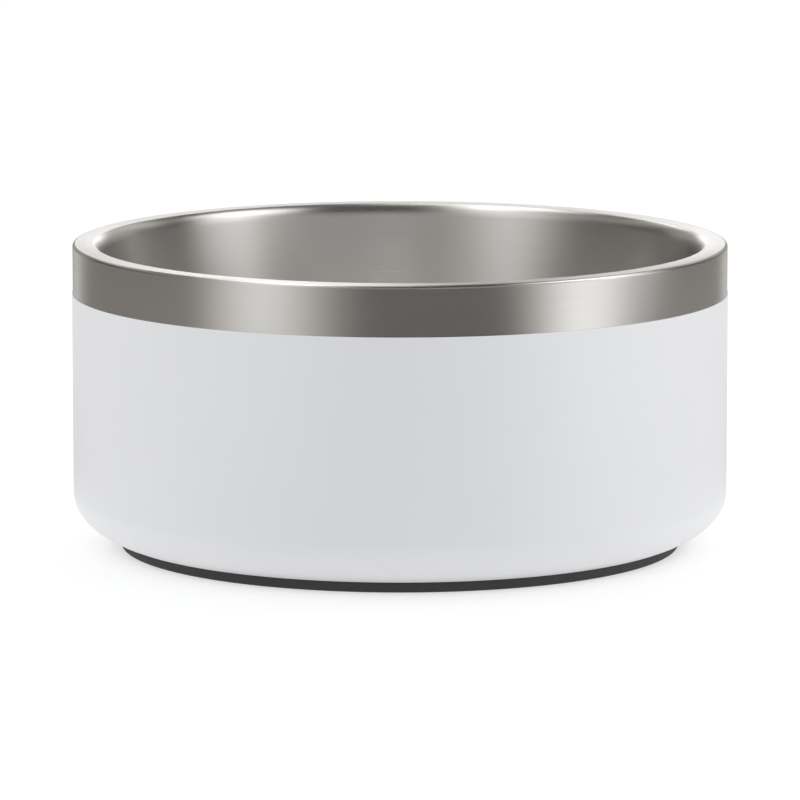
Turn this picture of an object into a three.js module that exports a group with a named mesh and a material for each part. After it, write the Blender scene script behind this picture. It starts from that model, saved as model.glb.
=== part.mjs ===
// Double-wall stainless-steel dog bowl, powder coated white, standing on a rubber non-slip ring.
// Lengths are millimetres and +Z is up. The origin is on the axis, on the surface the bowl stands on.
// Every piece is turned about that axis, so each is drawn as an outline of radius and height.
import * as THREE from "three";

// Whole bowl
const outerDiameter = 165;
const totalHeight = 77;
const sheet = 0.7; // thickness of every drawn or pressed steel wall

// Rim, turned out from the inner bowl and down onto the outer shell
const rimWidth = 5.6; // flat top with its outer bend
const flareReach = 2.4; // the bend from the inner wall to the flat top is part of an ellipse
const flareRise = 5;
const rimOuterBend = 0.9; // inside radius
const lipLength = 1.2; // straight lip below the outer bend, down to the seam

// Inner bowl
const wallDraft = 7; // degrees by which the wall leans out
const floorCornerRadius = 16;
const floorGap = 4; // air between the base plate's flange and the floor

// Outer shell: its lower corner is part of an ellipse and ends in a hem around the ring's channel
const cornerReach = 19.4;
const cornerRise = 12.4;
const cornerSweep = 62; // degrees of the ellipse's quarter that are used
const hemBend = 0.25;
const channelWall = 0.6; // straight wall between the hem and the channel's ceiling
const lipClearance = 0.8; // between the shell's in-turned lip and the base plate's step

// Base plate: a pressed pan whose flange laps the shell's in-turned lip from above
const baseClearance = 2; // surface below to the plate's underside
const plateBend = 0.3;
const lapWidth = 5;
const panelMargin = 11; // flat land left around the raised panel
const panelRise = 1;

// Non-slip ring
const ringStandoff = 2.9; // surface below to the hem's lowest edge
const ringWidth = 13;
const ringEdgeRadius = 0.5;
const ringSideClearance = 0.15;
const grooveCount = 2;
const grooveWidth = 1.6;
const grooveDepth = 0.7;

// Powder coat
const bareBand = 12.5; // rim top to the coat's upper edge
const coat = 0.15;

// Facets leave the true curve by no more than this
const chordTolerance = 0.1;

// Places that several pieces share
const outerRadius = outerDiameter / 2;
const seamHeight = totalHeight - rimOuterBend - sheet - lipLength;
const hemRadius = hemBend + sheet;
const channelHeight = ringStandoff + hemRadius + channelWall;
const flangeHeight = channelHeight + sheet;
const floorHeight = flangeHeight + sheet + floorGap + sheet;
const cornerEnd = THREE.MathUtils.degToRad(cornerSweep);
const cornerSlope = Math.atan2(cornerRise * Math.cos(cornerEnd), cornerReach * Math.sin(cornerEnd));
const cornerCentreRadius = outerRadius - cornerReach;
const cornerCentreHeight =
  ringStandoff + hemRadius * (1 - Math.cos(cornerSlope)) + cornerRise * Math.sin(cornerEnd);
const hemCentreRadius =
  cornerCentreRadius + cornerReach * Math.cos(cornerEnd) - hemRadius * Math.sin(cornerSlope);
const channelRadius = hemCentreRadius - hemRadius;
const ringOuterRadius = channelRadius - coat - ringSideClearance;
const ringInnerRadius = ringOuterRadius - ringWidth;
const stepRadius = ringInnerRadius - ringSideClearance;
const lipRadius = stepRadius + lipClearance;
const turnSegments = arcSteps(outerRadius, 2 * Math.PI);

const satinSteel = { color: 0xb4b1ad, metalness: 1, roughness: 0.32 };
const whitePowder = { color: 0xe3e4e7, metalness: 0, roughness: 0.45 };
const blackRubber = { color: 0x2d2d2e, metalness: 0, roughness: 0.8 };

function arcSteps(radius, turn) {
  const widestStep = 2 * Math.acos(1 - Math.min(chordTolerance / radius, 1));
  return Math.ceil(turn / widestStep);
}

function arcLine(centreRadius, centreHeight, reach, rise, from, to) {
  const steps = arcSteps(Math.max(reach, rise), Math.abs(to - from));
  const clockwise = to < from;
  return new THREE.EllipseCurve(centreRadius, centreHeight, reach, rise, from, to, clockwise).getPoints(steps);
}

// A line through [radius, height] corners; a third number rounds that corner.
function bentLine(corners) {
  const points = corners.map(([radius, height]) => new THREE.Vector2(radius, height));
  return corners.flatMap(([, , bend], i) => {
    if (!bend) return [points[i]];
    const before = points.at(i - 1).clone().sub(points[i]).normalize();
    const after = points[(i + 1) % points.length].clone().sub(points[i]).normalize();
    const halfAngle = Math.acos(before.dot(after)) / 2;
    const middle = before.clone().add(after).normalize();
    const centre = points[i].clone().addScaledVector(middle, bend / Math.sin(halfAngle));
    const start = points[i].clone().addScaledVector(before, bend / Math.tan(halfAngle));
    const turn = (Math.PI - 2 * halfAngle) * -Math.sign(before.cross(after));
    const from = start.sub(centre).angle();
    return arcLine(centre.x, centre.y, bend, bend, from, from + turn);
  });
}

// Moves a line sideways, to the right of its direction, keeping corners mitred.
function offsetLine(line, distance) {
  const normals = line.slice(1).map((point, i) => {
    const along = point.clone().sub(line[i]).normalize();
    return new THREE.Vector2(along.y, -along.x);
  });
  return line.map((point, i) => {
    const arriving = normals[Math.max(i - 1, 0)];
    const leaving = normals[Math.min(i, normals.length - 1)];
    const mitre = distance / (1 + arriving.dot(leaving));
    return point.clone().addScaledVector(arriving.clone().add(leaving), mitre);
  });
}

// Turns an outline about the upright axis. One that leaves the axis closes on itself.
function turned(name, outline, finish) {
  const closed = outline[0].x === 0 ? [...outline] : [...outline, outline[0].clone()];
  if (THREE.ShapeUtils.isClockWise(closed)) closed.reverse();
  const geometry = new THREE.LatheGeometry(closed, turnSegments).rotateX(Math.PI / 2);
  const mesh = new THREE.Mesh(geometry, new THREE.MeshStandardMaterial(finish));
  mesh.name = name;
  return mesh;
}

// A sheet of even thickness on the right of one of its faces, or on the left for a negative one.
function turnedSheet(name, face, thickness, finish) {
  return turned(name, [...face, ...offsetLine(face, thickness).reverse()], finish);
}

// The outside of the outer shell, from a height on its upright wall to the end of its hem.
function shellFace(topHeight) {
  const top = new THREE.Vector2(outerRadius, topHeight);
  const corner = arcLine(
    cornerCentreRadius, cornerCentreHeight, cornerReach, cornerRise, 0, -cornerEnd);
  const hem = arcLine(
    hemCentreRadius, ringStandoff + hemRadius, hemRadius, hemRadius, cornerSlope - Math.PI / 2, -Math.PI);
  return [top, ...corner, ...hem.slice(1)];
}

function innerBowl() {
  const wallLean = Math.tan(THREE.MathUtils.degToRad(wallDraft));
  const flatRadius = outerRadius - rimWidth;
  const flareStart = Math.PI - Math.atan2(flareRise * wallLean, flareReach);
  const flare = arcLine(
    flatRadius, totalHeight - flareRise, flareReach, flareRise, flareStart, Math.PI / 2);
  const wallTop = flare[0];
  const wallFoot = wallTop.x - wallLean * (wallTop.y - floorHeight);
  const well = bentLine([
    [0, floorHeight],
    [wallFoot, floorHeight, floorCornerRadius],
    [wallTop.x, wallTop.y],
  ]);
  const rim = bentLine([
    [flatRadius, totalHeight],
    [outerRadius, totalHeight, rimOuterBend + sheet],
    [outerRadius, seamHeight],
  ]);
  const inside = [...well, ...flare.slice(1), ...rim.slice(1)];
  return turnedSheet("inner_bowl", inside, sheet, satinSteel);
}

function outerShell() {
  const channel = bentLine([[channelRadius, channelHeight], [lipRadius, channelHeight]]);
  return turnedSheet("outer_shell", [...shellFace(seamHeight), ...channel], sheet, satinSteel);
}

function basePlate() {
  const panelRadius = stepRadius - panelMargin;
  const underside = bentLine([
    [0, baseClearance + panelRise],
    [panelRadius, baseClearance + panelRise],
    [panelRadius + panelRise, baseClearance],
    [stepRadius, baseClearance, plateBend + sheet],
    [stepRadius, flangeHeight, plateBend],
    [lipRadius + lapWidth, flangeHeight],
  ]);
  return turnedSheet("base_plate", underside, -sheet, satinSteel);
}

function powderCoat() {
  return turnedSheet("powder_coat", shellFace(totalHeight - bareBand), -coat, whitePowder);
}

// The ring fills its channel up to the ceiling; grooves part its sole into gripping ribs.
function nonSlipRing() {
  const grooves = Array.from({ length: grooveCount }, (_, i) => {
    const centre = ringOuterRadius - (ringWidth * (i + 1)) / (grooveCount + 1);
    const outside = centre + grooveWidth / 2;
    const inside = centre - grooveWidth / 2;
    return [[outside, 0], [outside, grooveDepth], [inside, grooveDepth], [inside, 0]];
  });
  const outline = bentLine([
    [ringInnerRadius, channelHeight],
    [ringOuterRadius, channelHeight],
    [ringOuterRadius, 0, ringEdgeRadius],
    ...grooves.flat(),
    [ringInnerRadius, 0, ringEdgeRadius],
  ]);
  return turned("non_slip_ring", outline, blackRubber);
}

const bowl = new THREE.Group();
bowl.add(innerBowl(), outerShell(), basePlate(), powderCoat(), nonSlipRing());

export default bowl;
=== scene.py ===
"""Dresses a packed dog bowl: two steel walls, a white powder coat and a black rubber ring to stand on."""
from collections import namedtuple
from math import atan2, ceil, cos, pi, radians, sin, sqrt, tan

import bmesh
import bpy
from bpy.props import FloatProperty, FloatVectorProperty, IntProperty, PointerProperty
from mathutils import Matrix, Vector


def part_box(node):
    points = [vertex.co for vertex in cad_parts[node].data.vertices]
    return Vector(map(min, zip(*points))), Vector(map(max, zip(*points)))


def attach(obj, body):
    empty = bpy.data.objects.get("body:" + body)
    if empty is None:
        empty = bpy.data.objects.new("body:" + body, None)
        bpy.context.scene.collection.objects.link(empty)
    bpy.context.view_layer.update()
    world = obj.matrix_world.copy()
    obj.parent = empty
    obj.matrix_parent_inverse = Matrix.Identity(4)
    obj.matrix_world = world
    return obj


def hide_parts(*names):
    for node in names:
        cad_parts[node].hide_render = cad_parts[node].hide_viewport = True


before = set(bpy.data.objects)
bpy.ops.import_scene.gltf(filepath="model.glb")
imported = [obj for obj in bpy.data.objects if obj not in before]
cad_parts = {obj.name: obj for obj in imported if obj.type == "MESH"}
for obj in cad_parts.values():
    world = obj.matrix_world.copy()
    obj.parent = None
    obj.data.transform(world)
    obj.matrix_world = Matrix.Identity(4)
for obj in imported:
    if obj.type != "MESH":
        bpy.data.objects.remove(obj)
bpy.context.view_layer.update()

bl_info = {
    "name": "Double-wall dog bowl",
    "version": (1, 0, 0),
    "blender": (4, 5, 0),
    "location": "View3D > Sidebar > Dog Bowl",
    "description": "Builds a steel dog bowl with a powder coat and a rubber ring around its packed frame",
    "category": "Add Mesh",
}

MM = 0.001
BODY = "root"

# Places that the frame gives
SHELL_LOW, SHELL_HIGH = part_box("outer_shell")
BOWL_LOW, BOWL_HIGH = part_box("inner_bowl")
PLATE_LOW, PLATE_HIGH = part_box("base_plate")
COAT_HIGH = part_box("powder_coat")[1]
RING_LOW, RING_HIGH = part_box("non_slip_ring")
OUTER_RADIUS = SHELL_HIGH.x
RIM_TOP = BOWL_HIGH.z
SEAM_HEIGHT = SHELL_HIGH.z
HEM_BOTTOM = SHELL_LOW.z
COAT_TOP = COAT_HIGH.z
RING_RADIUS = RING_HIGH.x
CHANNEL_HEIGHT = RING_HIGH.z
PLATE_BOTTOM = PLATE_LOW.z
FLANGE_RADIUS = PLATE_HIGH.x

# The photograph's view: a long lens on the bowl's axis, looking slightly down
IMAGE_SIDE = 800
FOCAL_PIXELS = 6600.6
SENSOR_WIDTH = 36.0
CAMERA_DISTANCE = 1.65
CAMERA_ABOVE_RIM = 0.21655
CAMERA_TILT = radians(8.855)

# Smoothness: bends are drawn in arc steps, and an edge that turns past the sharp angle is shaded as one
ARC_STEP = radians(7.5)
SHARP_ANGLE = radians(40)
ON_AXIS = 1e-9
MERGE_DISTANCE = 1e-7

# Light for what is matte: a fill of FILL_LEVEL that rises along FILL_SLOPE, the floor's own glow, and lamps.
# A radiance of 1 shows as white. Colours of light are linear.
WHITE = (1, 1, 1, 1)
FILL_COLOUR = (0.975, 0.99, 1, 1)
FILL_LEVEL = 0.84
FILL_SLOPE = (0.03, 0.32, 0.1)
FLOOR_RADIUS = 4.0
FLOOR_SEGMENTS = 96
TABLE_GLOW = 0.50
LAMP_TINT = (1.0, 0.985, 0.965)
Softbox = namedtuple("Softbox", "name place size radiance")
SOFTBOXES = (
    Softbox("left_softbox", place=(-0.95, 0.1, 0.35), size=(0.6, 0.6), radiance=1.5),
    Softbox("right_softbox", place=(0.9, -0.35, 0.35), size=(0.6, 0.6), radiance=0.95),
    Softbox("right_strip", place=(0.9, 0.3, 0.35), size=(0.4, 0.6), radiance=1.5),
)

# A dark cloth tent stands around the bowl, for its gloss alone, and these lit panels glow on it.
# Angles are degrees, seen from the rim: azimuth 0 is towards the camera and 90 to its right.
# A panel fades out over side_fade and end_fade, inside its edges; glow 1 is white.
Panel = namedtuple("Panel", "azimuth half_width side_fade low high end_fade glow")
TENT_RADIUS = 0.65
TENT_OFFSET = 0.24
TENT_STEP = 4
TENT_LOW = -54
TENT_HIGH = 90
TENT_FLOOR_GAP = 0.5 * MM
CLOTH_COLOUR = "#FFF7ED"
CLOTH_GLOW = 0.015
TENT_PANELS = {
    "left softbox": Panel(
        azimuth=-45, half_width=38, side_fade=40, low=-39, high=71, end_fade=11, glow=1.03),
    "right softbox": Panel(
        azimuth=57, half_width=27, side_fade=32, low=-52, high=19, end_fade=18, glow=1.48),
    "right card": Panel(
        azimuth=80, half_width=24, side_fade=19, low=-10, high=45, end_fade=6, glow=1.20),
    "front wall": Panel(
        azimuth=14, half_width=46, side_fade=28, low=6, high=20, end_fade=8, glow=2.10),
    "left ceiling": Panel(
        azimuth=-114, half_width=75, side_fade=9, low=46, high=84, end_fade=17, glow=2.38),
    "right ceiling": Panel(
        azimuth=87, half_width=40, side_fade=18, low=32, high=65, end_fade=9, glow=2.36),
    "left wall": Panel(
        azimuth=-117, half_width=68, side_fade=16, low=18, high=40, end_fade=8, glow=0.55),
    "back wall": Panel(
        azimuth=179, half_width=17, side_fade=9, low=1, high=18, end_fade=5, glow=2.00),
    "back ceiling": Panel(
        azimuth=-169, half_width=15, side_fade=8, low=18, high=46, end_fade=7, glow=1.90),
    "left back": Panel(
        azimuth=-150, half_width=22, side_fade=12, low=-1, high=20, end_fade=7, glow=0.42),
    "right back": Panel(
        azimuth=150, half_width=22, side_fade=12, low=-1, high=20, end_fade=7, glow=0.46),
    "right wall": Panel(
        azimuth=147, half_width=33, side_fade=14, low=12, high=40, end_fade=12, glow=0.80),
    "left table": Panel(
        azimuth=-115, half_width=47, side_fade=12, low=-52, high=3, end_fade=10, glow=0.31),
    "right table": Panel(
        azimuth=127, half_width=39, side_fade=15, low=-50, high=0, end_fade=9, glow=0.39),
    "back table": Panel(
        azimuth=-178, half_width=46, side_fade=18, low=-31, high=6, end_fade=12, glow=0.48),
    "top": Panel(
        azimuth=0, half_width=181, side_fade=1, low=66, high=120, end_fade=20, glow=0.25),
}


def linear(hex_colour):
    """An sRGB hex colour as linear red, green and blue."""
    channels = [int(hex_colour[i:i + 2], 16) / 255 for i in (1, 3, 5)]
    return [c / 12.92 if c <= 0.04045 else ((c + 0.055) / 1.055) ** 2.4 for c in channels]


def length(name, description, default):
    """A size that the sidebar shows as a length."""
    return FloatProperty(name=name, description=description, default=default, unit="LENGTH", precision=5)


def colour(name, description, hex_colour):
    """A colour that the sidebar shows with a colour field."""
    return FloatVectorProperty(name=name, description=description, default=linear(hex_colour),
                               size=3, min=0, max=1, subtype="COLOR")


class BowlSizes(bpy.types.PropertyGroup):
    """Sizes that the frame's boxes don't give."""
    sheet: length("Sheet", "Thickness of the steel walls", 0.7 * MM)
    rim_width: length("Rim width", "Flat top of the rim with its outer bend", 4.9 * MM)
    flare_reach: length("Flare reach", "Level half-axis of the bend from inner wall to rim", 2.2 * MM)
    flare_rise: length("Flare rise", "Upright half-axis of the bend from inner wall to rim", 4.5 * MM)
    rim_outer_bend: length("Outer rim bend", "Inside radius from rim to lip", 0.1 * MM)
    wall_draft: FloatProperty(name="Wall draft", description="How far the inner wall leans out",
                              default=radians(7), subtype="ANGLE")
    floor_corner: length("Floor corner", "Radius between the inner wall and the floor", 16 * MM)
    corner_reach: length("Corner reach", "Level half-axis of the outer shell's lower corner", 19.4 * MM)
    corner_rise: length("Corner rise", "Upright half-axis of the outer shell's lower corner", 12.4 * MM)
    corner_sweep: FloatProperty(name="Corner sweep", description="How much of the corner's quarter is used",
                                default=radians(62), subtype="ANGLE")
    hem_bend: length("Hem bend", "Inside radius of the shell's hem around the ring", 0.25 * MM)
    lip_clearance: length("Lip clearance", "Shell's in-turned lip to the base plate's step", 0.8 * MM)
    plate_bend: length("Plate bend", "Inside radius of the base plate's bends", 0.3 * MM)
    panel_margin: length("Panel margin", "Flat land around the base plate's raised panel", 11 * MM)
    panel_rise: length("Panel rise", "Height of the base plate's raised panel", 1 * MM)
    ring_width: length("Ring width", "Width of the rubber ring", 13 * MM)
    ring_edge: length("Ring edge", "Radius of the rubber ring's lower edges", 0.5 * MM)
    ring_clearance: length("Ring clearance", "Rubber ring to the base plate's step", 0.15 * MM)
    groove_count: IntProperty(name="Grooves", description="Grooves in the rubber ring's sole", default=2)
    groove_width: length("Groove width", "Width of a groove in the sole", 1.6 * MM)
    groove_depth: length("Groove depth", "Depth of a groove in the sole", 0.7 * MM)
    turn_steps: IntProperty(name="Turn steps", description="Steps around the axis", default=192, min=24)


class BowlColours(bpy.types.PropertyGroup):
    """Colours of the finishes."""
    steel: colour("Steel", "Bare satin steel", "#DBD9D6")
    powder: colour("Powder coat", "White powder coat", "#E2E2E4")
    rubber: colour("Rubber", "Black moulded rubber", "#363637")
    floor: colour("Floor", "Pale floor", "#C8C8C8")


def arc_line(centre_radius, centre_height, reach, rise, start, end):
    """Points along part of an ellipse, both ends included."""
    steps = max(2, ceil(abs(end - start) / ARC_STEP))
    angles = [start + (end - start) * i / steps for i in range(steps + 1)]
    return [Vector((centre_radius + reach * cos(a), centre_height + rise * sin(a))) for a in angles]


def bent_line(corners):
    """A line through (radius, height) corners, each rounded where it has a third number."""
    points = [Vector(corner[:2]) for corner in corners]
    line = []
    for i, corner in enumerate(corners):
        if len(corner) == 2:
            line.append(points[i])
            continue
        before = (points[i - 1] - points[i]).normalized()
        after = (points[(i + 1) % len(points)] - points[i]).normalized()
        half_angle = before.angle(after) / 2
        centre = points[i] + (before + after).normalized() * (corner[2] / sin(half_angle))
        first = points[i] + before * (corner[2] / tan(half_angle)) - centre
        start = atan2(first.y, first.x)
        turn = (pi - 2 * half_angle) * (-1 if before.cross(after) > 0 else 1)
        line += arc_line(centre.x, centre.y, corner[2], corner[2], start, start + turn)
    return line


def offset_line(line, distance):
    """The line moved to the right of its direction, with mitred corners."""
    ways = [(b - a).normalized() for a, b in zip(line, line[1:])]
    normals = [Vector((way.y, -way.x)) for way in ways]
    moved = []
    for i, point in enumerate(line):
        arriving = normals[max(i - 1, 0)]
        leaving = normals[min(i, len(normals) - 1)]
        moved.append(point + (arriving + leaving) * (distance / (1 + arriving.dot(leaving))))
    return moved


def shell_face(sizes, top_height):
    """The outer shell's outside, from a height on its wall to the end of its hem."""
    hem = sizes.hem_bend + sizes.sheet
    sweep = sizes.corner_sweep
    slope = atan2(sizes.corner_rise * cos(sweep), sizes.corner_reach * sin(sweep))
    centre_radius = OUTER_RADIUS - sizes.corner_reach
    centre_height = HEM_BOTTOM + hem * (1 - cos(slope)) + sizes.corner_rise * sin(sweep)
    hem_radius = centre_radius + sizes.corner_reach * cos(sweep) - hem * sin(slope)
    corner = arc_line(centre_radius, centre_height, sizes.corner_reach, sizes.corner_rise, 0, -sweep)
    turned_up = arc_line(hem_radius, HEM_BOTTOM + hem, hem, hem, slope - pi / 2, -pi)
    return [Vector((OUTER_RADIUS, top_height)), *corner, *turned_up[1:]]


def put_faces_in_order(model):
    """Sorts the faces by their corners, because a spin leaves them in another order each run."""
    model.verts.index_update()
    count = len(model.verts)

    def rank(face):
        first, second, *_, last = sorted(vert.index for vert in face.verts)
        return (first * count + second) * count + last

    model.faces.sort(key=rank)


def turned(name, outline, steps):
    """A new object from an outline that is turned about the upright axis."""
    model = bmesh.new()
    ends_on_axis = outline[0].x < ON_AXIS
    verts = [model.verts.new((point.x, 0, point.y)) for point in outline]
    pairs = list(zip(verts, verts[1:])) + ([] if ends_on_axis else [(verts[-1], verts[0])])
    edges = [model.edges.new(pair) for pair in pairs]
    bmesh.ops.spin(model, geom=verts + edges, axis=(0, 0, 1), cent=(0, 0, 0), angle=2 * pi,
                   steps=steps, use_merge=True)
    bmesh.ops.remove_doubles(model, verts=model.verts, dist=MERGE_DISTANCE)
    bmesh.ops.recalc_face_normals(model, faces=model.faces)
    put_faces_in_order(model)
    mesh = bpy.data.meshes.new(name)
    model.to_mesh(mesh)
    model.free()
    mesh.shade_smooth()
    mesh.set_sharp_from_angle(angle=SHARP_ANGLE)
    made = bpy.data.objects.new(name, mesh)
    bpy.context.scene.collection.objects.link(made)
    return made


def finish_piece(piece, node, material):
    """Even shading on the flats beside tight bends, then the piece's finish and its place in the frame."""
    weighted = piece.modifiers.new("Even flats", "WEIGHTED_NORMAL")
    weighted.keep_sharp = True
    piece.data.materials.append(material)
    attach(piece, BODY)
    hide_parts(node)


def add_node(tree, kind, inputs=(), **settings):
    """Adds a node with its settings, and fills its inputs with links or plain values."""
    made = tree.nodes.new(kind)
    for name, value in settings.items():
        setattr(made, name, value)
    for key, value in dict(inputs).items():
        if isinstance(value, bpy.types.NodeSocket):
            tree.links.new(value, made.inputs[key])
        else:
            made.inputs[key].default_value = value
    return made


def new_material(name):
    """A new material with an empty node tree."""
    material = bpy.data.materials.new(name)
    material.use_nodes = True
    material.node_tree.nodes.clear()
    return material, material.node_tree


def satin_steel(colours):
    """Stainless steel, brushed in circles as the bowl turned against an abrasive belt.

    To the eye: soft upright streaks of light, with faint rings, slightly warm in the dark parts.
    """
    name = "Stainless steel, circular satin brush"
    if name in bpy.data.materials:
        return bpy.data.materials[name]
    material, tree = new_material(name)
    # Brush lines are about 0.1 mm apart; they are drawn coarser, so that they show at all.
    line_spacing = 0.45 * MM
    line_depth = 0.02 * MM
    stroke_length = 70 * MM
    haze_size = 35 * MM
    haze_share = 0.93
    place = add_node(tree, "ShaderNodeTexCoord")
    split = add_node(tree, "ShaderNodeSeparateXYZ", {0: place.outputs["Object"]})
    level = add_node(tree, "ShaderNodeCombineXYZ", {0: split.outputs[0], 1: split.outputs[1]})
    radius = add_node(tree, "ShaderNodeVectorMath", {0: level.outputs[0]}, operation="LENGTH")
    around = add_node(tree, "ShaderNodeVectorMath", {0: level.outputs[0]}, operation="NORMALIZE")
    along = add_node(tree, "ShaderNodeMath",
                     {0: radius.outputs["Value"], 1: split.outputs[2]}, operation="ADD")
    height = add_node(tree, "ShaderNodeCombineXYZ", {2: along.outputs[0]})
    stroke = add_node(tree, "ShaderNodeVectorMath",
                      {0: around.outputs[0], 1: height.outputs[0]}, operation="ADD")
    turns = OUTER_RADIUS / stroke_length
    scaled = add_node(tree, "ShaderNodeVectorMath",
                      {0: stroke.outputs[0], 1: (turns, turns, 1 / line_spacing)}, operation="MULTIPLY")
    lines = add_node(tree, "ShaderNodeTexNoise",
                     {"Vector": scaled.outputs[0], "Scale": 1.0, "Detail": 4.0, "Roughness": 0.65})
    rough = add_node(tree, "ShaderNodeMapRange", {
        "Value": lines.outputs[0], "From Min": 0.25, "From Max": 0.75, "To Min": 0.27, "To Max": 0.36})
    haze = add_node(tree, "ShaderNodeTexNoise",
                    {"Vector": place.outputs["Object"], "Scale": 1 / haze_size, "Detail": 2.0})
    dark = [c * haze_share for c in colours.steel]
    tint = add_node(tree, "ShaderNodeMix", {0: haze.outputs[0], 6: (*dark, 1), 7: (*colours.steel, 1)},
                    data_type="RGBA")
    bump = add_node(tree, "ShaderNodeBump",
                    {"Height": lines.outputs[0], "Strength": 0.12, "Distance": line_depth})
    tangent = add_node(tree, "ShaderNodeTangent", direction_type="RADIAL", axis="Z")
    # The tint keeps the brushed steel from turning to a full mirror at grazing angles.
    metal = add_node(tree, "ShaderNodeBsdfPrincipled", {
        "Base Color": tint.outputs[2], "Metallic": 1.0, "Roughness": rough.outputs[0],
        "Specular Tint": (0.85, 0.85, 0.85, 1),
        "Anisotropic": 0.8, "Anisotropic Rotation": 0.25,
        "Normal": bump.outputs[0], "Tangent": tangent.outputs[0]})
    add_node(tree, "ShaderNodeOutputMaterial", {"Surface": metal.outputs[0]})
    return material


def white_powder_coat(colours):
    """Polyester powder, sprayed and baked: a semi-matte white with a faint orange peel."""
    material, tree = new_material("White polyester powder coat, baked")
    peel_size = 1.6 * MM
    peel_depth = 0.03 * MM
    mottle_size = 18 * MM
    mottle_share = 0.975
    place = add_node(tree, "ShaderNodeTexCoord")
    peel = add_node(tree, "ShaderNodeTexNoise", {
        "Vector": place.outputs["Object"], "Scale": 1 / peel_size, "Detail": 2.0, "Roughness": 0.5})
    mottle = add_node(tree, "ShaderNodeTexNoise",
                      {"Vector": place.outputs["Object"], "Scale": 1 / mottle_size, "Detail": 3.0})
    shade = [c * mottle_share for c in colours.powder]
    tint = add_node(tree, "ShaderNodeMix", {0: mottle.outputs[0], 6: (*shade, 1), 7: (*colours.powder, 1)},
                    data_type="RGBA")
    rough = add_node(tree, "ShaderNodeMapRange", {
        "Value": peel.outputs[0], "From Min": 0.3, "From Max": 0.7, "To Min": 0.40, "To Max": 0.48})
    bump = add_node(tree, "ShaderNodeBump",
                    {"Height": peel.outputs[0], "Strength": 0.15, "Distance": peel_depth})
    paint = add_node(tree, "ShaderNodeBsdfPrincipled", {
        "Base Color": tint.outputs[2], "Roughness": rough.outputs[0], "IOR": 1.5, "Normal": bump.outputs[0]})
    add_node(tree, "ShaderNodeOutputMaterial", {"Surface": paint.outputs[0]})
    return material


def black_rubber(colours):
    """Moulded black rubber: matte, with the fine grain of a blasted mould."""
    material, tree = new_material("Black rubber, compression moulded")
    grain_size = 0.5 * MM
    grain_depth = 0.04 * MM
    grain_share = 0.8
    place = add_node(tree, "ShaderNodeTexCoord")
    grain = add_node(tree, "ShaderNodeTexNoise",
                     {"Vector": place.outputs["Object"], "Scale": 1 / grain_size, "Detail": 3.0})
    shade = [c * grain_share for c in colours.rubber]
    tint = add_node(tree, "ShaderNodeMix", {0: grain.outputs[0], 6: (*shade, 1), 7: (*colours.rubber, 1)},
                    data_type="RGBA")
    rough = add_node(tree, "ShaderNodeMapRange", {
        "Value": grain.outputs[0], "From Min": 0.3, "From Max": 0.7, "To Min": 0.62, "To Max": 0.76})
    bump = add_node(tree, "ShaderNodeBump",
                    {"Height": grain.outputs[0], "Strength": 0.3, "Distance": grain_depth})
    rubber = add_node(tree, "ShaderNodeBsdfPrincipled", {
        "Base Color": tint.outputs[2], "Roughness": rough.outputs[0], "IOR": 1.52, "Normal": bump.outputs[0]})
    add_node(tree, "ShaderNodeOutputMaterial", {"Surface": rubber.outputs[0]})
    return material


class DOGBOWL_OT_inner_bowl(bpy.types.Operator):
    """Builds the drawn inner bowl with its flat rim"""
    bl_idname = "dogbowl.inner_bowl"
    bl_label = "Inner bowl"

    def execute(self, context):
        bowl = context.scene.dog_bowl
        sizes = bowl.sizes
        floor_height = BOWL_LOW.z + sizes.sheet
        lean = tan(sizes.wall_draft)
        start = pi - atan2(sizes.flare_rise * lean, sizes.flare_reach)
        flare = arc_line(OUTER_RADIUS - sizes.rim_width, RIM_TOP - sizes.flare_rise,
                         sizes.flare_reach, sizes.flare_rise, start, pi / 2)
        wall_foot = flare[0].x - lean * (flare[0].y - floor_height)
        well = bent_line([(0, floor_height), (wall_foot, floor_height, sizes.floor_corner), flare[0]])
        lip = bent_line([
            flare[-1],
            (OUTER_RADIUS, RIM_TOP, sizes.rim_outer_bend + sizes.sheet),
            (OUTER_RADIUS, SEAM_HEIGHT),
        ])
        inside = well + flare[1:] + lip[1:]
        outline = inside + offset_line(inside, sizes.sheet)[::-1]
        piece = turned("satin_inner_bowl", outline, sizes.turn_steps)
        finish_piece(piece, "inner_bowl", satin_steel(bowl.colours))
        return {"FINISHED"}


class DOGBOWL_OT_outer_shell(bpy.types.Operator):
    """Builds the outer steel wall with its rounded lower corner and the ring's channel"""
    bl_idname = "dogbowl.outer_shell"
    bl_label = "Outer shell"

    def execute(self, context):
        bowl = context.scene.dog_bowl
        sizes = bowl.sizes
        face = shell_face(sizes, SEAM_HEIGHT)
        lip_radius = RING_RADIUS - sizes.ring_width - sizes.ring_clearance + sizes.lip_clearance
        face += [Vector((face[-1].x, CHANNEL_HEIGHT)), Vector((lip_radius, CHANNEL_HEIGHT))]
        outline = face + offset_line(face, sizes.sheet)[::-1]
        piece = turned("satin_outer_shell", outline, sizes.turn_steps)
        finish_piece(piece, "outer_shell", satin_steel(bowl.colours))
        return {"FINISHED"}


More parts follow.
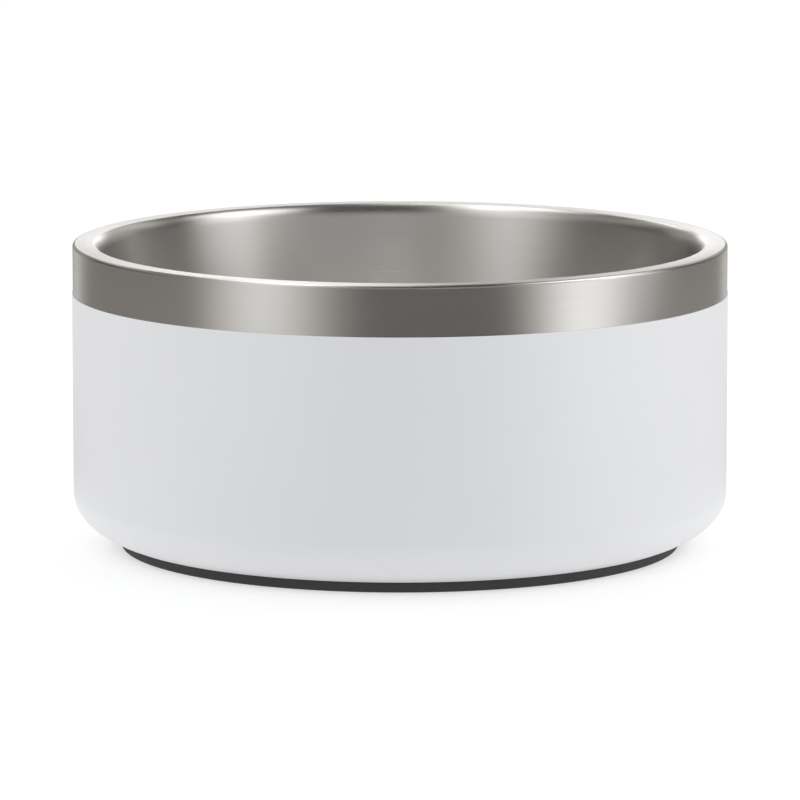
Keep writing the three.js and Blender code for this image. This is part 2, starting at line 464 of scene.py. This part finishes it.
class DOGBOWL_OT_base_plate(bpy.types.Operator):
    """Builds the pressed plate that closes the bottom"""
    bl_idname = "dogbowl.base_plate"
    bl_label = "Base plate"

    def execute(self, context):
        bowl = context.scene.dog_bowl
        sizes = bowl.sizes
        step_radius = RING_RADIUS - sizes.ring_width - sizes.ring_clearance
        flange_height = CHANNEL_HEIGHT + sizes.sheet
        panel_radius = step_radius - sizes.panel_margin
        panel_height = PLATE_BOTTOM + sizes.panel_rise
        underside = bent_line([
            (0, panel_height),
            (panel_radius, panel_height, sizes.panel_rise),
            (panel_radius + sizes.panel_rise, PLATE_BOTTOM, sizes.panel_rise),
            (step_radius, PLATE_BOTTOM, sizes.plate_bend + sizes.sheet),
            (step_radius, flange_height, sizes.plate_bend),
            (FLANGE_RADIUS, flange_height),
        ])
        outline = underside + offset_line(underside, -sizes.sheet)[::-1]
        piece = turned("satin_base_plate", outline, sizes.turn_steps)
        finish_piece(piece, "base_plate", satin_steel(bowl.colours))
        return {"FINISHED"}


class DOGBOWL_OT_powder_coat(bpy.types.Operator):
    """Builds the powder coat, an even skin on the outer shell below its bare band"""
    bl_idname = "dogbowl.powder_coat"
    bl_label = "Powder coat"

    def execute(self, context):
        bowl = context.scene.dog_bowl
        sizes = bowl.sizes
        coat = COAT_HIGH.x - SHELL_HIGH.x
        face = shell_face(sizes, COAT_TOP)
        outline = face + offset_line(face, -coat)[::-1]
        piece = turned("white_powder_coat", outline, sizes.turn_steps)
        finish_piece(piece, "powder_coat", white_powder_coat(bowl.colours))
        return {"FINISHED"}


class DOGBOWL_OT_non_slip_ring(bpy.types.Operator):
    """Builds the rubber ring with the grooves in its sole"""
    bl_idname = "dogbowl.non_slip_ring"
    bl_label = "Non-slip ring"

    def execute(self, context):
        bowl = context.scene.dog_bowl
        sizes = bowl.sizes
        inner_radius = RING_RADIUS - sizes.ring_width
        corners = [
            (inner_radius, CHANNEL_HEIGHT),
            (RING_RADIUS, CHANNEL_HEIGHT),
            (RING_RADIUS, RING_LOW.z, sizes.ring_edge),
        ]
        for i in range(sizes.groove_count):
            centre = RING_RADIUS - sizes.ring_width * (i + 1) / (sizes.groove_count + 1)
            top = RING_LOW.z + sizes.groove_depth
            half = sizes.groove_width / 2
            soft = sizes.groove_depth / 3  # radius of a groove's edges
            corners += [
                (centre + half, RING_LOW.z, soft),
                (centre + half, top, soft),
                (centre - half, top, soft),
                (centre - half, RING_LOW.z, soft),
            ]
        corners.append((inner_radius, RING_LOW.z, sizes.ring_edge))
        piece = turned("rubber_non_slip_ring", bent_line(corners), sizes.turn_steps)
        finish_piece(piece, "non_slip_ring", black_rubber(bowl.colours))
        return {"FINISHED"}


def seen_directly(tree):
    """A factor that is 1 for rays from the camera, from metal and through glass."""
    path = add_node(tree, "ShaderNodeLightPath")
    mirrored = add_node(tree, "ShaderNodeMath", {
        0: path.outputs["Is Glossy Ray"], 1: path.outputs["Is Transmission Ray"]}, operation="MAXIMUM")
    seen = add_node(tree, "ShaderNodeMath",
                    {0: path.outputs["Is Camera Ray"], 1: mirrored.outputs[0]}, operation="MAXIMUM")
    return seen.outputs[0]


def pale_floor(colours):
    """Matte white light table. Its own glow fills the bowl's lower corner and it keeps the bowl's shadow."""
    material, tree = new_material("Opal light table, matte")
    fibre_size = 3 * MM
    fibre_share = 0.98
    place = add_node(tree, "ShaderNodeTexCoord")
    fibre = add_node(tree, "ShaderNodeTexNoise", {"Vector": place.outputs["Object"], "Scale": 1 / fibre_size})
    shade = [c * fibre_share for c in colours.floor]
    tint = add_node(tree, "ShaderNodeMix", {0: fibre.outputs[0], 6: (*shade, 1), 7: (*colours.floor, 1)},
                    data_type="RGBA")
    board = add_node(tree, "ShaderNodeBsdfPrincipled", {
        "Base Color": tint.outputs[2], "Roughness": 0.9, "Specular IOR Level": 0.0,
        "Emission Color": WHITE, "Emission Strength": TABLE_GLOW})
    add_node(tree, "ShaderNodeOutputMaterial", {"Surface": board.outputs[0]})
    return material


def tent_cloth():
    """Dark cloth, slightly brown, with white lit panels. Each point of the tent carries its own glow."""
    material, tree = new_material("Studio tent, dark cloth with lit panels")
    glow = add_node(tree, "ShaderNodeAttribute", attribute_name="glow")
    tint = add_node(tree, "ShaderNodeMix",
                    {0: glow.outputs["Fac"], 6: (*linear(CLOTH_COLOUR), 1), 7: WHITE},
                    data_type="RGBA")
    cloth = add_node(tree, "ShaderNodeEmission", {"Color": tint.outputs[2], "Strength": glow.outputs["Fac"]})
    add_node(tree, "ShaderNodeOutputMaterial", {"Surface": cloth.outputs[0]})
    return material


def faded(depth, fade):
    """0 at a panel's edge, rising smoothly to 1 where it is as deep as its fade."""
    share = min(max(depth / fade, 0), 1)
    return share * share * (3 - 2 * share)


def panel_glow(panel, azimuth, elevation):
    """How brightly a panel glows in a direction from the rim."""
    aside = abs((azimuth - panel.azimuth + 180) % 360 - 180)
    across = faded(panel.half_width - aside, panel.side_fade)
    upright = faded(elevation - panel.low, panel.end_fade) * faded(panel.high - elevation, panel.end_fade)
    return panel.glow * across * upright


def tent_point(azimuth, elevation):
    """Where a direction from the rim meets the tent, which stands to the left: its dome or floor cloth."""
    turn, tilt = radians(azimuth), radians(max(elevation, 0))
    way = Vector((sin(turn) * cos(tilt), -cos(turn) * cos(tilt), sin(tilt)))
    aside = TENT_OFFSET * way.x
    point = way * (sqrt(TENT_RADIUS ** 2 - TENT_OFFSET ** 2 + aside ** 2) - aside)
    if elevation < 0:
        drop = tan(radians(-elevation))
        floor_reach = OUTER_RADIUS + (RIM_TOP - TENT_FLOOR_GAP) / drop
        point = way * min(point.length, floor_reach)
        point.z = (OUTER_RADIUS - point.length) * drop
    point.z += RIM_TOP
    return point


def add_softbox(box):
    """A lamp of even brightness that faces the bowl and lights what is matte."""
    width, height = box.size
    data = bpy.data.lights.new(box.name, "AREA")
    data.shape = "RECTANGLE"
    data.size = width
    data.size_y = height
    data.energy = box.radiance * pi * width * height
    data.color = LAMP_TINT
    lamp = bpy.data.objects.new(box.name, data)
    lamp.location = box.place
    aim = Vector((0, 0, RIM_TOP / 2)) - lamp.location
    lamp.rotation_euler = aim.to_track_quat("-Z", "Y").to_euler()
    lamp.visible_camera = False
    lamp.visible_glossy = False
    bpy.context.scene.collection.objects.link(lamp)


class DOGBOWL_OT_stage(bpy.types.Operator):
    """Builds the floor, the studio light and the camera"""
    bl_idname = "dogbowl.stage"
    bl_label = "Stage"

    def execute(self, context):
        scene = context.scene
        scene.view_settings.view_transform = "Standard"
        self.add_floor(scene)
        self.add_light(scene)
        self.add_tent(scene)
        self.add_camera(scene)
        return {"FINISHED"}

    def add_floor(self, scene):
        model = bmesh.new()
        bmesh.ops.create_circle(model, cap_ends=True, segments=FLOOR_SEGMENTS, radius=FLOOR_RADIUS)
        mesh = bpy.data.meshes.new("studio_floor")
        model.to_mesh(mesh)
        model.free()
        mesh.materials.append(pale_floor(scene.dog_bowl.colours))
        floor = bpy.data.objects.new("studio_floor", mesh)
        scene.collection.objects.link(floor)

    def add_light(self, scene):
        world = bpy.data.worlds.new("White studio")
        world.use_nodes = True
        tree = world.node_tree
        tree.nodes.clear()
        way = add_node(tree, "ShaderNodeTexCoord")
        slope = add_node(tree, "ShaderNodeVectorMath", {0: way.outputs["Generated"], 1: FILL_SLOPE},
                         operation="DOT_PRODUCT")
        level = add_node(tree, "ShaderNodeMath", {0: slope.outputs["Value"], 1: FILL_LEVEL}, operation="ADD")
        fill = add_node(tree, "ShaderNodeBackground", {"Color": FILL_COLOUR, "Strength": level.outputs[0]})
        white = add_node(tree, "ShaderNodeBackground", {"Color": WHITE, "Strength": 1.0})
        both = add_node(tree, "ShaderNodeMixShader",
                        {0: seen_directly(tree), 1: fill.outputs[0], 2: white.outputs[0]})
        add_node(tree, "ShaderNodeOutputWorld", {"Surface": both.outputs[0]})
        scene.world = world
        for box in SOFTBOXES:
            add_softbox(box)

    def add_tent(self, scene):
        azimuths = range(-180, 181, TENT_STEP)
        elevations = range(TENT_LOW, TENT_HIGH + 1, TENT_STEP)
        ways = [(azimuth, elevation) for azimuth in azimuths for elevation in elevations]
        rows = len(elevations)
        faces = []
        for i, (_, elevation) in enumerate(ways[:-rows]):
            if elevation < elevations[-1]:
                faces.append((i, i + rows, i + rows + 1, i + 1))
        mesh = bpy.data.meshes.new("studio_tent")
        mesh.from_pydata([tent_point(*way) for way in ways], [], faces)
        glow = mesh.attributes.new("glow", "FLOAT", "POINT")
        for value, way in zip(glow.data, ways):
            value.value = CLOTH_GLOW + sum(panel_glow(panel, *way) for panel in TENT_PANELS.values())
        mesh.materials.append(tent_cloth())
        tent = bpy.data.objects.new("studio_tent", mesh)
        scene.collection.objects.link(tent)
        tent.visible_camera = False
        tent.visible_diffuse = False
        tent.visible_shadow = False

    def add_camera(self, scene):
        data = bpy.data.cameras.new("photo_camera")
        data.sensor_width = SENSOR_WIDTH
        data.lens = SENSOR_WIDTH * FOCAL_PIXELS / IMAGE_SIDE
        camera = bpy.data.objects.new("photo_camera", data)
        camera.location = (0, -CAMERA_DISTANCE, RIM_TOP + CAMERA_ABOVE_RIM)
        camera.rotation_euler = (pi / 2 - CAMERA_TILT, 0, 0)
        scene.collection.objects.link(camera)
        scene.camera = camera


OPERATORS = (
    DOGBOWL_OT_inner_bowl,
    DOGBOWL_OT_outer_shell,
    DOGBOWL_OT_base_plate,
    DOGBOWL_OT_powder_coat,
    DOGBOWL_OT_non_slip_ring,
    DOGBOWL_OT_stage,
)


class DogBowl(bpy.types.PropertyGroup):
    """Everything about the bowl that the sidebar can change."""
    sizes: PointerProperty(name="Sizes", description="Sizes of the bowl's pieces", type=BowlSizes)
    colours: PointerProperty(name="Colours", description="Colours of the finishes", type=BowlColours)


class DOGBOWL_PT_sidebar(bpy.types.Panel):
    """Lists the bowl's pieces and sizes"""
    bl_idname = "DOGBOWL_PT_sidebar"
    bl_label = "Dog Bowl"
    bl_space_type = "VIEW_3D"
    bl_region_type = "UI"
    bl_category = "Dog Bowl"

    def draw(self, context):
        bowl = context.scene.dog_bowl
        for operator in OPERATORS:
            self.layout.operator(operator.bl_idname)
        for group in (bowl.sizes, bowl.colours):
            box = self.layout.box()
            for name in group.bl_rna.properties.keys():
                if name not in {"rna_type", "name"}:
                    box.prop(group, name)


CLASSES = (BowlSizes, BowlColours, DogBowl, *OPERATORS, DOGBOWL_PT_sidebar)


def register():
    for made in CLASSES:
        bpy.utils.register_class(made)
    bpy.types.Scene.dog_bowl = PointerProperty(type=DogBowl)


def unregister():
    del bpy.types.Scene.dog_bowl
    for made in reversed(CLASSES):
        bpy.utils.unregister_class(made)


def main():
    register()
    bpy.ops.dogbowl.inner_bowl()
    bpy.ops.dogbowl.outer_shell()
    bpy.ops.dogbowl.base_plate()
    bpy.ops.dogbowl.powder_coat()
    bpy.ops.dogbowl.non_slip_ring()
    bpy.ops.dogbowl.stage()


if __name__ == "__main__":
    main()
